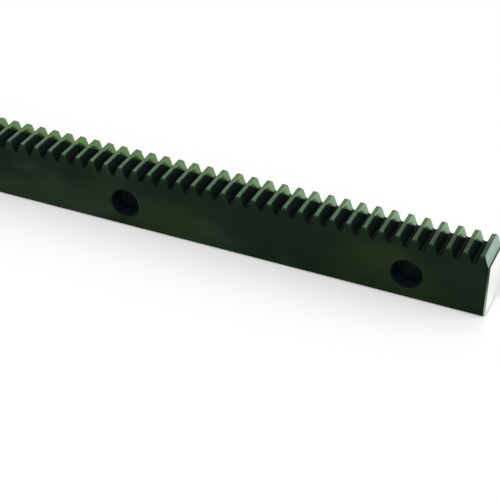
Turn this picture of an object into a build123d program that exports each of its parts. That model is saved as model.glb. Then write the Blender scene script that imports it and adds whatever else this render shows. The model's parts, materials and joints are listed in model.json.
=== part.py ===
from build123d import *
import math
import os

# Straight-toothed gear rack with a row of counterbored holes in one side, sizes in mm.
# X runs along the bar, Y across its width (the screw heads sit on the -Y side), Z up to the tooth tips.
# The origin is the middle of the bottom face.

# Teeth
module = 2.5
tooth_count = 65
pressure_angle = 20.0
addendum_per_module = 1.0
dedendum_per_module = 1.25
root_fillet_per_module = 0.38
tip_chamfer = 0.25

# Bar
bar_height = 33.0
bar_width = 20.0
edge_chamfer = 1.0
end_chamfer = 0.8

# Screw holes
hole_spacing = 145.0
least_end_distance = 25.0
hole_height = 13.0
hole_diameter = 9.0
counterbore_diameter = 15.0
counterbore_depth = 9.0
hole_edge_chamfer = 0.3

# Sizes that follow from the ones above
circular_pitch = math.pi * module
bar_length = circular_pitch * tooth_count
hole_count = 1 + math.floor((bar_length - 2 * least_end_distance) / hole_spacing)
addendum = addendum_per_module * module
dedendum = dedendum_per_module * module
root_fillet = root_fillet_per_module * module
pitch_height = bar_height - addendum
root_height = pitch_height - dedendum
flank_slope = math.tan(math.radians(pressure_angle))
gap_half_at_root = circular_pitch / 4 - dedendum * flank_slope
gap_half_at_tip = circular_pitch / 4 + (addendum - tip_chamfer) * flank_slope
# A gap is cut on past the tooth tips, its sides drawn on in the line of the tip chamfers.
cut_height = bar_height + tip_chamfer
gap_half_at_cut = gap_half_at_tip + 2 * tip_chamfer

with BuildPart() as rack_bar:
    # Plain bar with its long edges broken, then the edges of its two ends
    with BuildSketch(Plane.YZ.offset(-bar_length / 2)) as bar_section:
        Rectangle(bar_width, bar_height, align=(Align.CENTER, Align.MIN))
        chamfer(bar_section.vertices(), edge_chamfer)
    extrude(amount=bar_length)
    end_faces = rack_bar.faces().filter_by(Axis.X)
    chamfer(end_faces.edges(), end_chamfer)

    # One tooth gap, with its floor rounded into both flanks and the tooth tips beside it broken,
    # repeated along the bar; the gap at each end is half off the bar, so two racks laid end to
    # end keep the pitch
    with BuildSketch(Plane.XZ.offset(-bar_width / 2)) as tooth_gaps:
        with GridLocations(circular_pitch, 0, tooth_count + 1, 1):
            with BuildSketch(mode=Mode.PRIVATE) as one_gap:
                with BuildLine():
                    Polyline(
                        (-gap_half_at_root, root_height),
                        (gap_half_at_root, root_height),
                        (gap_half_at_tip, bar_height - tip_chamfer),
                        (gap_half_at_cut, cut_height),
                        (-gap_half_at_cut, cut_height),
                        (-gap_half_at_tip, bar_height - tip_chamfer),
                        close=True,
                    )
                make_face()
                floor_corners = one_gap.vertices().group_by(Axis.Y)[0]
                fillet(floor_corners, root_fillet)
            add(one_gap.sketch)
    extrude(amount=bar_width, mode=Mode.SUBTRACT)

    # Counterbored holes through the width, the heads sunk in the -Y side
    with Locations(Plane.XZ.offset(bar_width / 2)):
        with Locations((0, hole_height)):
            with GridLocations(hole_spacing, 0, hole_count, 1):
                CounterBoreHole(
                    radius=hole_diameter / 2,
                    counter_bore_radius=counterbore_diameter / 2,
                    counter_bore_depth=counterbore_depth,
                    depth=bar_width,
                )
    rims_by_depth = rack_bar.edges(Select.LAST).filter_by(GeomType.CIRCLE).group_by(Axis.Y)
    chamfer(rims_by_depth[0] + rims_by_depth[-1], hole_edge_chamfer)

os.makedirs("parts", exist_ok=True)
rack_bar.part.label = "rack_bar"
export_step(rack_bar.part, "parts/rack_bar.step")
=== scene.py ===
import json
import logging
import math
from dataclasses import dataclass
from enum import IntEnum
from typing import Any, Mapping, Sequence

import bmesh
import bpy
import numpy as np
from mathutils import Matrix, Vector


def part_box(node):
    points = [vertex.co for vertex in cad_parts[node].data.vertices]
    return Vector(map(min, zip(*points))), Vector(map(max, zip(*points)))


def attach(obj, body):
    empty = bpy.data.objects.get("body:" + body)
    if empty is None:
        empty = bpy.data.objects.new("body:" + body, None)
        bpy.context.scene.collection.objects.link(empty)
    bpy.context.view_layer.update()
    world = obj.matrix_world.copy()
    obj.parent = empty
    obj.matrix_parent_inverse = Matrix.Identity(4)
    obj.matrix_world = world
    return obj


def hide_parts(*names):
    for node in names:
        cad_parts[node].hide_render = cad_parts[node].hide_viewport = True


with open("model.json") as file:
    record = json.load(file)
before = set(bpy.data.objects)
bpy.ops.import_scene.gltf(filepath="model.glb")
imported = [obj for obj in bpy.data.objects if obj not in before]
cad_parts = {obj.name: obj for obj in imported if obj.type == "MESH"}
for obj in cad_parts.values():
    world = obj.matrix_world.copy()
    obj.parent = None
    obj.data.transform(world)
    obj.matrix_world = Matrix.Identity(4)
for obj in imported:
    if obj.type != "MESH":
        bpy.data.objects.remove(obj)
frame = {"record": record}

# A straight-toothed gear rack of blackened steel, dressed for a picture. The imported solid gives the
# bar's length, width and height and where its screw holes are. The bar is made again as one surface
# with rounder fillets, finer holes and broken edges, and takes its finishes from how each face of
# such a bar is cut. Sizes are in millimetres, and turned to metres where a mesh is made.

log = logging.getLogger("gear_rack")

NODE = "rack_bar"
BODY = "root"
MM = 0.001

# Points of a mesh that are nearer than this, in millimetres, are one point.
SAME_POINT = 0.002

# Noise lies about its middle and seldom leaves the first range, nor the sum of two the second.
NOISE_MIDDLE = 0.5
NOISE = (0.3, 0.7)
TWO_NOISES = (0.7, 1.3)

# The node settings of a smooth change between two ends, and of a mix of two colours.
SMOOTH = {"interpolation_type": "SMOOTHSTEP"}
COLOURS = {"data_type": "RGBA"}

# A grain is a size along, across and up the bar. A range is the start and the end of a change.
Grain = tuple[float, float, float]
Range = tuple[float, float]


class Cut(IntEnum):
    """How a face of the bar was made. The number is the face's material slot."""

    DRAWN = 0
    GROUND = 1
    MILLED = 2
    BORED = 3
    SAWN = 4
    CHAMFERED = 5
    # The half gaps at the ends, painted pale as painted light.
    RUBBED = 6
    CORNERED = 7


class Strip(IntEnum):
    """The strips round the bar's section, in the order that its skin takes them."""

    BOTTOM = 0
    BACK_FOOT = 1
    BACK = 2
    BACK_SHOULDER = 3
    TOP = 4
    FRONT_SHOULDER = 5
    FRONT = 6
    FRONT_FOOT = 7


def linear(hex_colour: str) -> tuple[float, float, float, float]:
    """Turns an sRGB hex colour into the linear colour that a shader takes.

    Args:
        hex_colour: The colour as "#rrggbb".

    Returns:
        Red, green, blue and an alpha of 1.
    """
    parts = [int(hex_colour[i : i + 2], 16) / 255 for i in (1, 3, 5)]
    red, green, blue = (c / 12.92 if c <= 0.04045 else ((c + 0.055) / 1.055) ** 2.4 for c in parts)
    return red, green, blue, 1.0


def ring_faces(rings: int, steps: int) -> np.ndarray:
    """Joins each closed ring of points to the next one with four-sided faces.

    A face takes a point and the one beside it in the ring, and the same two in the next ring.

    Args:
        rings: How many rings there are.
        steps: How many points each ring has.

    Returns:
        The four point numbers of each face, ring by ring.
    """
    ring, step = np.meshgrid(np.arange(rings - 1), np.arange(steps), indexing="ij")
    beside = (step + 1) % steps
    here, after = ring * steps, (ring + 1) * steps
    return np.stack([here + step, after + step, after + beside, here + beside], axis=2).reshape(-1, 4)


def clean_mesh(mesh: bpy.types.Mesh) -> None:
    """Merges points that lie together and turns every face outwards.

    Args:
        mesh: The mesh to change, in metres.
    """
    work = bmesh.new()
    work.from_mesh(mesh)
    bmesh.ops.remove_doubles(work, verts=work.verts, dist=SAME_POINT * MM)
    bmesh.ops.recalc_face_normals(work, faces=work.faces)
    work.to_mesh(mesh)
    work.free()


def apply_modifiers(piece: bpy.types.Object) -> None:
    """Turns a piece's modifiers into its mesh.

    Args:
        piece: The object to change.
    """
    graph = bpy.context.evaluated_depsgraph_get()
    shaped = piece.evaluated_get(graph)
    made = bpy.data.meshes.new_from_object(shaped, preserve_all_data_layers=True, depsgraph=graph)
    piece.modifiers.clear()
    old, piece.data = piece.data, made
    bpy.data.meshes.remove(old)


@dataclass(frozen=True)
class RackBar:
    """The bar: its toothed outline, its section and its screw holes, in millimetres.

    The addendum and dedendum are a tooth's height above and below the pitch line, in modules. The
    edge rounding is the width of the round on every edge that turns by more than the sharp angle.
    """

    length: float
    width: float
    height: float
    hole_places: list[float]
    module: float = 2.5
    tooth_count: int = 65
    pressure_angle: float = math.radians(20)
    addendum: float = 1.0
    dedendum: float = 1.25
    root_fillet: float = 0.95
    tip_chamfer: float = 0.25
    edge_chamfer: float = 1.0
    end_chamfer: float = 0.8
    hole_height: float = 13.0
    hole_diameter: float = 9.0
    counterbore_diameter: float = 15.0
    counterbore_depth: float = 9.0
    rim_chamfer: float = 0.3
    edge_rounding: float = 0.14
    sharp_angle: float = math.radians(24)
    rounding_steps: int = 2
    fillet_steps: int = 8
    circle_steps: int = 96

    @property
    def pitch(self) -> float:
        """The distance from tooth to tooth."""
        return math.pi * self.module

    @property
    def root_height(self) -> float:
        """The height of the gap floors: the tips' height less the addendum and the dedendum."""
        return self.height - (self.addendum + self.dedendum) * self.module

    def outline(self) -> tuple[np.ndarray, np.ndarray]:
        """Works out the toothed outline of the bar, seen from its side.

        One gap runs from its middle up one side: the flat floor, the fillet as an arc of the
        angle between floor and flank, the straight flank and the tooth tip's small chamfer. The
        other side is its mirror image. The gaps repeat at the pitch, and the first and last are
        half off the bar.

        Returns:
            Distance along the bar and height, for each point of the outline.
        """
        slope = math.tan(self.pressure_angle)
        half_floor = self.pitch / 4 - self.dedendum * self.module * slope
        half_mouth = self.pitch / 4 + self.addendum * self.module * slope
        turn = math.pi / 2 - self.pressure_angle
        tangent = self.root_fillet * math.tan(turn / 2)
        arc = np.linspace(0, turn, self.fillet_steps + 1)
        fillet_x = half_floor - tangent + self.root_fillet * np.sin(arc)
        fillet_z = self.root_height + self.root_fillet * (1 - np.cos(arc))
        # The flank has a point where the chamfer of the bar's long edges starts.
        flank_z = self.height - np.array([self.edge_chamfer, self.tip_chamfer, 0])
        flank_x = half_mouth - (self.height - flank_z) * slope
        flank_x[-1] = flank_x[-2] + self.tip_chamfer
        rise_x = np.concatenate([fillet_x, flank_x])
        rise_z = np.concatenate([fillet_z, flank_z])
        tooth_x = np.concatenate([rise_x, self.pitch - rise_x[::-1]])
        tooth_z = np.concatenate([rise_z, rise_z[::-1]])
        starts = self.pitch * np.arange(self.tooth_count) - self.length / 2
        along = np.add.outer(starts, tooth_x).ravel()
        up = np.tile(tooth_z, self.tooth_count)
        ends = np.array([-1, 1]) * self.length / 2
        chamfer_starts = ends - np.sign(ends) * self.end_chamfer
        chamfer_heights = np.interp(chamfer_starts, along, up)
        along = np.concatenate([along, ends, chamfer_starts])
        up = np.concatenate([up, [self.root_height] * 2, chamfer_heights])
        order = np.argsort(along, kind="stable")
        return along[order], up[order]

    def skin(self) -> bpy.types.Mesh:
        """Makes the bar's closed skin without its holes.

        The surface is a grid. One way it follows the toothed outline along the bar. The other
        way it goes round the section: across the bottom, up one side, over the top and down the
        other side, with a flat chamfer at each corner. Within the end chamfer the section draws
        in by as much as a point lies inside it, and its corner flats draw in with it.

        Returns:
            The mesh, in metres, each face with its cut as material number.
        """
        along, up = self.outline()
        inset = np.clip(self.end_chamfer - (self.length / 2 - np.abs(along)), 0, None)
        side = self.width / 2 - inset
        # Each leg of a 45 degree flat gets shorter by two less root two times the inset.
        corner = self.edge_chamfer - (2 - math.sqrt(2)) * inset
        shoulder = np.minimum(up, self.height - self.edge_chamfer)
        crown = side - (up - shoulder)
        across = np.stack([corner - side, side - corner, side, side, crown, -crown, -side, -side], axis=1)
        upward = np.stack([inset, inset, inset + corner, shoulder, up, up, shoulder, inset + corner], axis=1)
        rows, columns = across.shape
        points = np.stack([np.repeat(along[:, None], columns, axis=1), across, upward], axis=2)
        first = np.arange(columns)
        last = (rows - 1) * columns + first[::-1]
        faces = [*ring_faces(rows, columns).tolist(), first.tolist(), last.tolist()]
        cuts = np.append(self.strip_cuts(along, up, inset).ravel(), [Cut.SAWN] * 2)
        mesh = bpy.data.meshes.new(NODE)
        mesh.from_pydata(points.reshape(-1, 3) * MM, [], faces)
        mesh.polygons.foreach_set("material_index", cuts.astype(np.int32))
        return mesh

    def strip_cuts(self, along: np.ndarray, up: np.ndarray, inset: np.ndarray) -> np.ndarray:
        """Says how each face of the skin's strips is cut.

        The sides, the bottom and the corners between them are drawn with the bar, and the teeth's
        corners are chamfered after it. The top strip is ground where both its rows are tooth tips
        and milled elsewhere, with painted light in the half gap at each end. What lies within the end
        chamfer is a chamfer all round.

        Args:
            along: Each row's distance along the bar.
            up: Each row's height on the toothed outline.
            inset: How far each row lies inside the end chamfer.

        Returns:
            The cut of each face, by row and strip.
        """
        strip = np.array(list(Strip))[None, :]
        at_shoulder = (strip == Strip.BACK_SHOULDER) | (strip == Strip.FRONT_SHOULDER)
        at_end = (inset[:-1] + inset[1:] > 0)[:, None]
        at_tip = np.isclose(up, self.height)
        on_land = (strip == Strip.TOP) & (at_tip[:-1] & at_tip[1:])[:, None]
        in_gap = (strip == Strip.TOP) & ~at_end
        middle = np.abs(along[:-1] + along[1:]) / 2
        in_half_gap = (middle > self.length / 2 - self.pitch / 2)[:, None]
        cuts = np.where(at_shoulder, Cut.CORNERED, Cut.DRAWN)
        cuts = np.where(at_end, Cut.CHAMFERED, cuts)
        cuts = np.where(in_gap, np.where(in_half_gap, Cut.RUBBED, Cut.MILLED), cuts)
        return np.where(on_land, Cut.GROUND, cuts)

    def hole_cutters(self) -> bpy.types.Mesh:
        """Makes the solids that the screw holes are cut with.

        Each is a profile of radius and depth, turned about the hole's axis: the rim chamfer, the
        counterbore's wall and floor, the drilled hole and the chamfer where it comes out. It
        stands out past both sides of the bar.

        Returns:
            One mesh with a closed solid for each hole, in metres.
        """
        rim = self.rim_chamfer
        head = self.counterbore_diameter / 2
        shank = self.hole_diameter / 2
        front, back = -self.width / 2, self.width / 2
        seat = front + self.counterbore_depth
        past = 1.0
        profile = np.array(
            [
                (head + rim + past, front - past),
                (head, front + rim),
                (head, seat),
                (shank, seat),
                (shank, back - rim),
                (shank + rim + past, back + past),
            ]
        )
        rings, steps = len(profile), self.circle_steps
        angle = np.linspace(0, 2 * np.pi, steps, endpoint=False)
        radius, depth = profile[:, :1], profile[:, 1:]
        x = radius * np.cos(angle)
        y = np.repeat(depth, steps, axis=1)
        z = radius * np.sin(angle) + self.hole_height
        one = np.stack([x, y, z], axis=2).reshape(-1, 3)
        quads = ring_faces(rings, steps)
        lid = np.arange(steps)
        points, faces = [], []
        for number, place in enumerate(self.hole_places):
            shift = number * len(one)
            points.append(one + [place, 0, 0])
            faces += (quads + shift).tolist()
            faces.append((lid + shift).tolist())
            faces.append((lid[::-1] + (rings - 1) * steps + shift).tolist())
        mesh = bpy.data.meshes.new("hole_cutters")
        mesh.from_pydata(np.concatenate(points) * MM, [], faces)
        mesh.polygons.foreach_set("material_index", np.full(len(faces), Cut.BORED, np.int32))
        return mesh

    def build(self, finishes: Mapping[Cut, bpy.types.Material]) -> bpy.types.Object:
        """Makes the finished bar: the skin, its holes cut through, and every edge broken.

        Args:
            finishes: The material for each way that a face is cut.

        Returns:
            The bar's object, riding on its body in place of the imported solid.
        """
        bar = bpy.data.objects.new("rack_bar_dressed", self.skin())
        cutters = bpy.data.objects.new("hole_cutters", self.hole_cutters())
        for piece in (bar, cutters):
            bpy.context.scene.collection.objects.link(piece)
            for cut in Cut:
                piece.data.materials.append(finishes[cut])
            clean_mesh(piece.data)
        holes = bar.modifiers.new("screw holes", "BOOLEAN")
        holes.operation = "DIFFERENCE"
        holes.solver = "EXACT"
        holes.object = cutters
        apply_modifiers(bar)
        bpy.data.objects.remove(cutters)
        edges = bar.modifiers.new("broken edges", "BEVEL")
        edges.width = self.edge_rounding * MM
        edges.segments = self.rounding_steps
        edges.limit_method = "ANGLE"
        edges.angle_limit = self.sharp_angle
        edges.harden_normals = True
        edges.use_clamp_overlap = False
        bar.data.shade_smooth()
        apply_modifiers(bar)
        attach(bar, BODY)
        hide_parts(NODE)
        return bar


class Nodes:
    """The node tree of a material or a world."""

    def __init__(self, tree: bpy.types.NodeTree) -> None:
        """Takes the tree that nodes are added to."""
        self.tree = tree

    def add_node(
        self, kind: str, inputs: Mapping[str, Any] | Sequence[Any] = (), **settings: Any
    ) -> bpy.types.NodeSocket:
        """Adds a node with its settings and links.

        Args:
            kind: The node's type without "ShaderNode", such as "Math".
            inputs: What the inputs in use take, in their order or by name: the socket to link, a
                value, or a colour as a hex string.
            settings: The node's own properties. They also say which inputs and outputs are in use.

        Returns:
            The node's first output in use.
        """
        node = self.tree.nodes.new("ShaderNode" + kind)
        for name, setting in settings.items():
            setattr(node, name, setting)
        if isinstance(inputs, Mapping):
            pairs = [(node.inputs[name], value) for name, value in inputs.items()]
        else:
            pairs = zip([socket for socket in node.inputs if socket.enabled], inputs)
        for socket, value in pairs:
            if isinstance(value, bpy.types.NodeSocket):
                self.tree.links.new(value, socket)
            else:
                socket.default_value = linear(value) if isinstance(value, str) else value
        return next(socket for socket in node.outputs if socket.enabled)


class Place(Nodes):
    """The place of a point on the bar in millimetres, as sockets for a finish to read."""

    def __init__(self, tree: bpy.types.NodeTree) -> None:
        """Reads Object coordinates and turns them into millimetres.

        Args:
            tree: The material's node tree.
        """
        super().__init__(tree)
        metres = self.add_node("TexCoord").node.outputs["Object"]
        self.point = self.add_node("Mapping", {"Vector": metres, "Scale": (1 / MM,) * 3})
        self.along, self.across, self.up = self.add_node("SeparateXYZ", [self.point]).node.outputs

    def grains(self, grain: Grain, detail: float) -> bpy.types.NodeSocket:
        """Scatters grains of a real size: noise of the point divided by the grain's size.

        Args:
            grain: The size of a grain, in millimetres.
            detail: How many finer layers the noise has.

        Returns:
            The noise, from 0 to 1.
        """
        scale = tuple(1 / size for size in grain)
        stretched = self.add_node("Mapping", {"Vector": self.point, "Scale": scale})
        return self.add_node("TexNoise", {"Vector": stretched, "Scale": 1.0, "Detail": detail})


@dataclass(frozen=True)
class SteelFinish:
    """A finish of the bar. Blackened steel stays a metal, whose base colour is how much it reflects.

    The edge shine is how much of the metal's whitening at a glancing look is left under the oxide,
    and the oil shine is the gloss of what isn't metal. The depth is how deep the tool's marks are.
    Lines that a tool leaves are drawn coarser than the real ones, which are too fine to show.
    Sizes are in millimetres, and the range of a gloss is roughness.
    """

    name: str
    metallic: float = 1.0
    edge_shine: float = 1.0
    oil_shine: float = 0.5
    depth: float = 0.01

    def material(self) -> bpy.types.Material:
        """Makes the finish.

        Returns:
            The material.
        """
        made = bpy.data.materials.new(self.name)
        made.use_nodes = True
        shader = made.node_tree.nodes["Principled BSDF"]
        shader.inputs["Metallic"].default_value = self.metallic
        shader.inputs["Specular Tint"].default_value = (self.edge_shine,) * 3 + (1.0,)
        shader.inputs["Specular IOR Level"].default_value = self.oil_shine
        place = Place(made.node_tree)
        look = self.surface(place)
        relief = {"Height": look.pop("Height"), "Distance": self.depth * MM}
        look["Normal"] = place.add_node("Bump", relief)
        for name, socket in look.items():
            made.node_tree.links.new(socket, shader.inputs[name])
        return made

    def surface(self, place: Place) -> dict[str, bpy.types.NodeSocket]:
        """Works out the sockets for the shader's inputs, by name, and the relief's "Height"."""
        raise NotImplementedError


@dataclass(frozen=True)
class DrawnOxide(SteelFinish):
    """Black oxide on a cold drawn face: near black, satin, a shade olive, with lines along the bar.

    Its clouds are where the oxide took more or less, and it is painted a little darker towards the +X end:
    painted shade for the light falling off along the bar.
    """

    edge_shine: float = 0.1
    depth: float = 0.012
    dark: str = "#1b261d"
    light: str = "#2b3a2e"
    olive: str = "#2b361e"
    olive_share: float = 0.7
    olive_range: Range = (0.5, 0.75)
    clouds: Grain = (38.0, 19.0, 19.0)
    tints: Grain = (64.6, 38.0, 38.0)
    lines: Grain = (90.0, 0.45, 0.45)
    specks: Grain = (0.35, 0.35, 0.35)
    speck_share: float = 0.5
    darkens: Range = (-50.0, 255.0)
    painted_falloff: Range = (0.05, -0.17)
    gloss: Range = (0.34, 0.5)

    def surface(self, place: Place) -> dict[str, bpy.types.NodeSocket]:
        """Clouds the colour, tints it olive where the oxide is thinner, and lines gloss and relief.

        Args:
            place: The point on the bar.

        Returns:
            The sockets for colour, roughness and relief.
        """
        clouds = place.grains(self.clouds, detail=5)
        tints = place.grains(self.tints, detail=2)
        lines = place.grains(self.lines, detail=4)
        specks = place.grains(self.specks, detail=2)
        # Painted shade: the colour darkens along the bar towards the +X end, where the light falls off.
        darker = place.add_node("MapRange", [place.along, *self.darkens, *self.painted_falloff], **SMOOTH)
        thinness_and_falloff = place.add_node("Math", [clouds, darker], operation="ADD")
        thinner = place.add_node("MapRange", [thinness_and_falloff, *NOISE], **SMOOTH)
        tinted = place.add_node("MapRange", [tints, *self.olive_range, 0.0, self.olive_share], **SMOOTH)
        colour = place.add_node("Mix", [thinner, self.dark, self.light], **COLOURS)
        colour = place.add_node("Mix", [tinted, colour, self.olive], **COLOURS)
        roughness = place.add_node("Math", [clouds, lines], operation="ADD")
        gloss = place.add_node("MapRange", [roughness, *TWO_NOISES, *self.gloss], **SMOOTH)
        fine = place.add_node("Math", [specks, self.speck_share], operation="MULTIPLY")
        height = place.add_node("Math", [lines, fine], operation="ADD")
        return {"Base Color": colour, "Roughness": gloss, "Height": height}


@dataclass(frozen=True)
class GroundLand(SteelFinish):
    """Thin oxide on a ground face: a light grey green with fine grinding lines along the bar.

    It is warmer on the back half of the bar, and on the front half towards the +X end it is painted
    darker as painted shade.
    """

    green: str = "#466548"
    grey: str = "#547355"
    grey_range: Range = (0.75, 1.25)
    warm: str = "#587546"
    warm_share: float = 0.7
    warms: Range = (-5.0, 5.0)
    shaded_oxide: str = "#354c35"
    painted_shade_share: float = 1.0
    end_range: Range = (165.0, 240.0)
    front_range: Range = (5.0, -2.0)
    drift: Grain = (120.0, 60.0, 60.0)
    patches: Grain = (3.0, 3.0, 3.0)
    lines: Grain = (14.0, 0.3, 0.3)
    gloss: Range = (0.26, 0.38)

    def surface(self, place: Place) -> dict[str, bpy.types.NodeSocket]:
        """Drifts the tint along the bar, warms it, paints shade on it, and lines gloss and relief.

        Args:
            place: The point on the bar.

        Returns:
            The sockets for colour, roughness and relief.
        """
        drift = place.grains(self.drift, detail=2)
        patches = place.grains(self.patches, detail=3)
        lines = place.grains(self.lines, detail=3)
        greyness = place.add_node("Math", [drift, patches], operation="ADD")
        greyer = place.add_node("MapRange", [greyness, *self.grey_range], **SMOOTH)
        warmer = place.add_node("MapRange", [place.across, *self.warms, 0.0, self.warm_share], **SMOOTH)
        # Painted shade: the front half of the land darkens towards the +X end.
        to_end = place.add_node("MapRange", [place.along, *self.end_range, 0.0, self.painted_shade_share], **SMOOTH)
        to_front = place.add_node("MapRange", [place.across, *self.front_range], **SMOOTH)
        painted_shade = place.add_node("Math", [to_end, to_front], operation="MULTIPLY")
        colour = place.add_node("Mix", [greyer, self.green, self.grey], **COLOURS)
        colour = place.add_node("Mix", [warmer, colour, self.warm], **COLOURS)
        colour = place.add_node("Mix", [painted_shade, colour, self.shaded_oxide], **COLOURS)
        gloss = place.add_node("MapRange", [lines, *NOISE, *self.gloss], **SMOOTH)
        return {"Base Color": colour, "Roughness": gloss, "Height": lines}


@dataclass(frozen=True)
class BrokenEdge(GroundLand):
    """Thin oxide on the chamfers round the bar's ends.

    It is dark, and painted lighter towards the foot: a painted reflection of the floor.
    """

    green: str = "#344231"
    grey: str = "#3d4f3c"
    warm_share: float = 0.0
    painted_shade_share: float = 0.0
    painted_reflection: str = "#8fb08c"
    painted_reflection_range: Range = (24.0, 2.0)

    def surface(self, place: Place) -> dict[str, bpy.types.NodeSocket]:
        """Takes the ground finish and lightens it towards the foot.

        Args:
            place: The point on the bar.

        Returns:
            The sockets for colour, roughness and relief.
        """
        look = super().surface(place)
        # Painted reflection of the floor: the chamfer is lighter towards the foot.
        foot = place.add_node("MapRange", [place.up, *self.painted_reflection_range], **SMOOTH)
        colour = place.add_node("Mix", [foot, look["Base Color"], self.painted_reflection], **COLOURS)
        return {**look, "Base Color": colour}


@dataclass(frozen=True, kw_only=True)
class ToothCorner(GroundLand):
    """Oxide on the chamfers at the teeth's corners.

    It is thin and lighter beside the land, and below an uneven line it is as dark as the drawn side.
    """

    tip_height: float
    green: str = "#405842"
    grey: str = "#4a644b"
    warm_share: float = 0.0
    side: str = "#1e2a1f"
    darkens: Range = (0.1, 0.55)
    waves: Grain = (1.5, 1.5, 1.5)
    wave_height: float = 0.4

    def surface(self, place: Place) -> dict[str, bpy.types.NodeSocket]:
        """Takes the ground finish and darkens it below the tip along an uneven line.

        Args:
            place: The point on the bar.

        Returns:
            The sockets for colour, roughness and relief.
        """
        look = super().surface(place)
        start, end = (self.tip_height - down for down in self.darkens)
        noise = place.grains(self.waves, detail=3)
        centred = place.add_node("Math", [noise, NOISE_MIDDLE], operation="SUBTRACT")
        wave = place.add_node("Math", [centred, self.wave_height], operation="MULTIPLY")
        height = place.add_node("Math", [place.up, wave], operation="ADD")
        below = place.add_node("MapRange", [height, start, end], **SMOOTH)
        colour = place.add_node("Mix", [below, look["Base Color"], self.side], **COLOURS)
        return {**look, "Base Color": colour}


@dataclass(frozen=True, kw_only=True)
class MilledFlank(SteelFinish):
    """Oxide on the milled gaps: black with oil, with painted shade at the floor and painted reflections
    above.

    Only the flanks that face one end of the bar carry a painted reflection at the teeth's back ends:
    the white surround seen through the open back of each gap, painted pale and fully a metal. Elsewhere
    the finish is only half a metal to the eye. Fine mill marks run across the bar.
    """

    pitch: float
    half_length: float
    root_height: float
    tip_height: float
    edge_shine: float = 0.3
    oil_shine: float = 0.1
    depth: float = 0.004
    painted_floor_shade: str = "#131c19"
    oiled: str = "#22302b"
    rises: Range = (-0.2, 1.5)
    painted_reflection_left: str = "#698658"
    painted_reflection_right: str = "#a0bba0"
    pales: Range = (60.0, 250.0)
    painted_reflection_range: Range = (0.6, 1.6)
    slant: float = 1.3
    waves: Grain = (2.5, 5.0, 1.5)
    metal: Range = (0.5, 1.0)
    lines: Grain = (0.3, 40.0, 0.3)
    line_gloss: Range = (0.08, 0.14)
    oxide_gloss: Range = (0.22, 0.16)

    def painted_reflection_share(self, place: Place, rise: bpy.types.NodeSocket) -> bpy.types.NodeSocket:
        """Works out where the painted reflection lies on the flanks.

        It grows with height and past a slanting line across the bar, which reaches further
        forward at the tip, on the half of each tooth beyond its middle.

        Args:
            place: The point on the bar.
            rise: The height above the gap's floor, from 0 to 1.

        Returns:
            The share of the painted reflection, from 0 to 1.
        """
        noise = place.grains(self.waves, detail=3)
        wave = place.add_node("Math", [noise, NOISE_MIDDLE], operation="SUBTRACT")
        below_tip = place.add_node("Math", [place.up, self.tip_height], operation="SUBTRACT")
        lean = place.add_node("Math", [below_tip, self.slant], operation="MULTIPLY")
        waved = place.add_node("Math", [place.across, wave], operation="ADD")
        reach = place.add_node("Math", [waved, lean], operation="ADD")
        painted_reflection = place.add_node("MapRange", [reach, *self.painted_reflection_range], **SMOOTH)
        from_end = place.add_node("Math", [place.along, self.half_length], operation="ADD")
        in_pitches = place.add_node("Math", [from_end, self.pitch], operation="DIVIDE")
        in_tooth = place.add_node("Math", [in_pitches], operation="FRACT")
        past_middle = place.add_node("Math", [in_tooth, 0.5], operation="GREATER_THAN")
        share = place.add_node("Math", [rise, painted_reflection], operation="MULTIPLY")
        return place.add_node("Math", [share, past_middle], operation="MULTIPLY")

    def surface(self, place: Place) -> dict[str, bpy.types.NodeSocket]:
        """Colours the gap with painted shade from its floor upwards, adds the painted reflection, and marks
        it across the bar.

        Args:
            place: The point on the bar.

        Returns:
            The sockets for colour, metal, roughness and relief.
        """
        start, end = (self.root_height + above for above in self.rises)
        rise = place.add_node("MapRange", [place.up, start, end], **SMOOTH)
        share = self.painted_reflection_share(place, rise)
        lines = place.grains(self.lines, detail=3)
        # The painted reflection of the white surround, paler towards the +X end.
        paler = place.add_node("MapRange", [place.along, *self.pales], **SMOOTH)
        thin = place.add_node("Mix", [paler, self.painted_reflection_left, self.painted_reflection_right], **COLOURS)
        # Painted shade: the oxide is darkest on the gap floor and lightens upwards.
        shaded_oxide = place.add_node("Mix", [rise, self.painted_floor_shade, self.oiled], **COLOURS)
        colour = place.add_node("Mix", [share, shaded_oxide, thin], **COLOURS)
        metal = place.add_node("MapRange", [share, 0.0, 1.0, *self.metal], **SMOOTH)
        line_gloss = place.add_node("MapRange", [lines, *NOISE, *self.line_gloss], **SMOOTH)
        oxide_gloss = place.add_node("MapRange", [share, 0.0, 1.0, *self.oxide_gloss], **SMOOTH)
        gloss = place.add_node("Math", [line_gloss, oxide_gloss], operation="ADD")
        return {"Base Color": colour, "Metallic": metal, "Roughness": gloss, "Height": lines}


@dataclass(frozen=True)
class BoredOxide(SteelFinish):
    """Thick oxide and oil in the screw holes: almost black, with fine rings from the drill."""

    metallic: float = 0.5
    edge_shine: float = 0.0
    oil_shine: float = 0.1
    dark: str = "#172124"
    light: str = "#1f2a2d"
    rings: Grain = (6.0, 0.35, 6.0)
    gloss: Range = (0.5, 0.62)

    def surface(self, place: Place) -> dict[str, bpy.types.NodeSocket]:
        """Draws rings round the hole's wall, as noise that changes fastest across the bar.

        Args:
            place: The point on the bar.

        Returns:
            The sockets for colour, roughness and relief.
        """
        rings = place.grains(self.rings, detail=2)
        colour = place.add_node("Mix", [rings, self.dark, self.light], **COLOURS)
        gloss = place.add_node("MapRange", [rings, *NOISE, *self.gloss], **SMOOTH)
        return {"Base Color": colour, "Roughness": gloss, "Height": rings}


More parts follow.
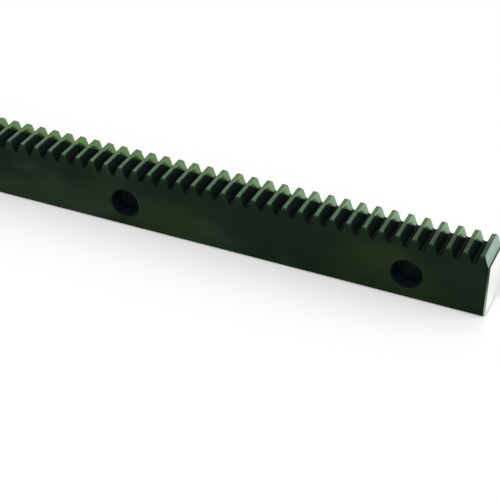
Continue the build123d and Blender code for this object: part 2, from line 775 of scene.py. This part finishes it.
@dataclass(frozen=True)
class SawnSteel(SteelFinish):
    """The bare steel of the cut ends: bright, with the saw's long arcs.

    The arcs run about the saw's arbor, which stood behind and above the bar.
    """

    depth: float = 0.012
    dark: str = "#f1f2ee"
    light: str = "#fcfdfa"
    arbor: tuple[float, float, float] = (0.0, 45.0, 150.0)
    arc: float = 0.5
    patches: Grain = (6.0, 6.0, 6.0)
    gloss: Range = (0.3, 0.42)

    def surface(self, place: Place) -> dict[str, bpy.types.NodeSocket]:
        """Draws arcs as noise that changes only with the distance from the arbor, seen endways.

        Args:
            place: The point on the bar.

        Returns:
            The sockets for colour, roughness and relief.
        """
        offset = place.add_node("VectorMath", [place.point, self.arbor], operation="SUBTRACT")
        endways = place.add_node("VectorMath", [offset, (0.0, 1.0, 1.0)], operation="MULTIPLY")
        reach = place.add_node("VectorMath", [endways], operation="LENGTH")
        in_arcs = place.add_node("Math", [reach, self.arc], operation="DIVIDE")
        arcs = place.add_node("TexNoise", {"W": in_arcs, "Scale": 1.0, "Detail": 2.0}, noise_dimensions="1D")
        patches = place.grains(self.patches, detail=3)
        brightness = place.add_node("Math", [arcs, patches], operation="ADD")
        share = place.add_node("MapRange", [brightness, *TWO_NOISES], **SMOOTH)
        colour = place.add_node("Mix", [share, self.dark, self.light], **COLOURS)
        gloss = place.add_node("MapRange", [arcs, *NOISE, *self.gloss], **SMOOTH)
        return {"Base Color": colour, "Roughness": gloss, "Height": arcs}


def steel_finishes(bar: RackBar) -> dict[Cut, bpy.types.Material]:
    """Makes the material for each way that a face of the bar is cut.

    Args:
        bar: The bar, whose teeth some finishes follow.

    Returns:
        The material for each cut.
    """
    flank = MilledFlank(
        name="black oxide on milled steel",
        pitch=bar.pitch,
        half_length=bar.length / 2,
        root_height=bar.root_height,
        tip_height=bar.height,
    )
    # The half gaps at the ends are painted paler and cooler than the lands: painted light on the open gaps
    # at the ends.
    half_gap = GroundLand(
        name="black oxide with painted light in the end gaps",
        green="#7c9f89",
        grey="#96b0a0",
        warm_share=0.0,
        painted_shade_share=0.0,
    )
    finishes = {
        Cut.DRAWN: DrawnOxide("black oxide on drawn steel"),
        Cut.GROUND: GroundLand("thin black oxide on ground steel"),
        Cut.MILLED: flank,
        Cut.BORED: BoredOxide("black oxide in bored holes"),
        Cut.SAWN: SawnSteel("bare sawn steel"),
        Cut.CHAMFERED: BrokenEdge("black oxide on broken edges"),
        Cut.RUBBED: half_gap,
        Cut.CORNERED: ToothCorner(name="thin black oxide on tooth corners", tip_height=bar.height),
    }
    return {cut: finish.material() for cut, finish in finishes.items()}


def seen_white(nodes: Nodes) -> bpy.types.NodeSocket:
    """Tells the rays that see a white surround from those that only light the bar.

    Args:
        nodes: The tree that asks.

    Returns:
        1 for camera, glossy and transmission rays, and 0 for the others.
    """
    path = nodes.add_node("LightPath").node.outputs
    eye = nodes.add_node("Math", [path["Is Camera Ray"], path["Is Glossy Ray"]], operation="MAXIMUM")
    return nodes.add_node("Math", [eye, path["Is Transmission Ray"]], operation="MAXIMUM")


@dataclass(frozen=True)
class Studio:
    """A pale floor, a white surround and soft lamps. Sizes are in metres.

    The floor lift is the light that the floor adds where it is seen, which brings it to white. The
    surround gives the dim light to the bar and the seen light to the camera and reflections.
    """

    floor_size: float = 8.0
    floor_colour: str = "#fafaf9"
    floor_roughness: float = 0.9
    floor_lift: float = 0.16
    dim_light: float = 0.55
    seen_light: float = 1.0
    aim: tuple[float, float, float] = (0.1, 0, 0)

    def build(self) -> None:
        """Makes the floor, the surround and the lamps."""
        self.floor()
        self.surround()
        self.lamp("front softbox", place=(-0.4, -1.2, 2.2), size=3.0, watts=32)
        self.lamp("side softbox", place=(1.5, 0.5, 0.8), size=0.8, watts=4)

    def floor(self) -> None:
        """Makes the floor, a plain square of matt white paint, which shows no gloss."""
        half = self.floor_size / 2
        corners = [(-half, -half, 0), (half, -half, 0), (half, half, 0), (-half, half, 0)]
        mesh = bpy.data.meshes.new("floor")
        mesh.from_pydata(corners, [], [(0, 1, 2, 3)])
        floor = bpy.data.objects.new("floor", mesh)
        bpy.context.scene.collection.objects.link(floor)
        paint = bpy.data.materials.new("matt white paint")
        paint.use_nodes = True
        nodes = Nodes(paint.node_tree)
        shader = paint.node_tree.nodes["Principled BSDF"]
        shader.inputs["Base Color"].default_value = linear(self.floor_colour)
        shader.inputs["Roughness"].default_value = self.floor_roughness
        shader.inputs["Emission Color"].default_value = (1, 1, 1, 1)
        lift = nodes.add_node("MapRange", {"Value": seen_white(nodes), "To Max": self.floor_lift})
        paint.node_tree.links.new(lift, shader.inputs["Emission Strength"])
        mesh.materials.append(paint)

    def surround(self) -> None:
        """Makes the world: white to the camera and in reflections, and a dim even light otherwise."""
        world = bpy.data.worlds.new("white surround")
        bpy.context.scene.world = world
        world.use_nodes = True
        nodes = Nodes(world.node_tree)
        background = world.node_tree.nodes["Background"]
        background.inputs["Color"].default_value = (1, 1, 1, 1)
        light = {"Value": seen_white(nodes), "To Min": self.dim_light, "To Max": self.seen_light}
        world.node_tree.links.new(nodes.add_node("MapRange", light), background.inputs["Strength"])

    def lamp(self, name: str, place: tuple[float, float, float], size: float, watts: float) -> None:
        """Adds one soft lamp that faces the bar.

        Args:
            name: The lamp's name.
            place: Where it stands.
            size: Its width and height.
            watts: Its power.
        """
        light = bpy.data.lights.new(name, "AREA")
        light.shape = "RECTANGLE"
        light.size = light.size_y = size
        light.energy = watts
        lamp = bpy.data.objects.new(name, light)
        lamp.location = place
        lamp.rotation_euler = (Vector(self.aim) - Vector(place)).to_track_quat("-Z", "Y").to_euler()
        bpy.context.scene.collection.objects.link(lamp)


@dataclass(frozen=True)
class PhotoCamera:
    """The photograph's viewpoint: turned to the right of the bar's side and looking down on it.

    Turn, tilt and roll are in degrees, the aim, the distance and the lens in millimetres, and the
    clip distances in metres.
    """

    turn: float = -24.42
    tilt: float = 34.92
    roll: float = -0.195
    aim: tuple[float, float, float] = (139.78, -10.0, 4.44)
    distance: float = 641.53
    lens: float = 96.928
    clip: Range = (0.01, 50)

    def build(self) -> None:
        """Makes the camera. It looks along its own -Z: down by the tilt, then turned about the vertical."""
        turned = Matrix.Rotation(math.radians(-self.turn), 3, "Z")
        tilted = Matrix.Rotation(math.radians(90 - self.tilt), 3, "X")
        rolled = Matrix.Rotation(math.radians(self.roll), 3, "Z")
        view = turned @ tilted @ rolled
        place = Vector(self.aim) + view.col[2] * self.distance
        data = bpy.data.cameras.new("photo camera")
        data.lens = self.lens
        data.clip_start, data.clip_end = self.clip
        camera = bpy.data.objects.new("photo camera", data)
        camera.matrix_world = Matrix.Translation(place * MM) @ view.to_4x4()
        bpy.context.scene.collection.objects.link(camera)
        bpy.context.scene.camera = camera


def hole_places() -> list[float]:
    """Reads where the screw holes are from the record, which states them as pairs about the middle.

    Returns:
        Each hole's distance along the bar, in millimetres.
    """
    patterns = [mount for mount in frame["record"]["mounts"] if mount["kind"] == "bolt_pattern"]
    halves = [mount["dims"]["spacing_x_mm"] / 2 for mount in patterns]
    return sorted(side * half for half in halves for side in (-1, 1))


def main() -> None:
    """Builds the bar with its finishes, the studio and the camera."""
    logging.basicConfig(level=logging.INFO, format="%(name)s: %(message)s")
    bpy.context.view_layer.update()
    low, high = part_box(NODE)
    size = (high - low) / MM
    bar = RackBar(size.x, size.y, size.z, hole_places())
    piece = bar.build(steel_finishes(bar))
    log.info("%s: %d faces", piece.name, len(piece.data.polygons))
    Studio().build()
    PhotoCamera().build()
    bpy.context.scene.view_settings.view_transform = "Standard"


if __name__ == "__main__":
    main()
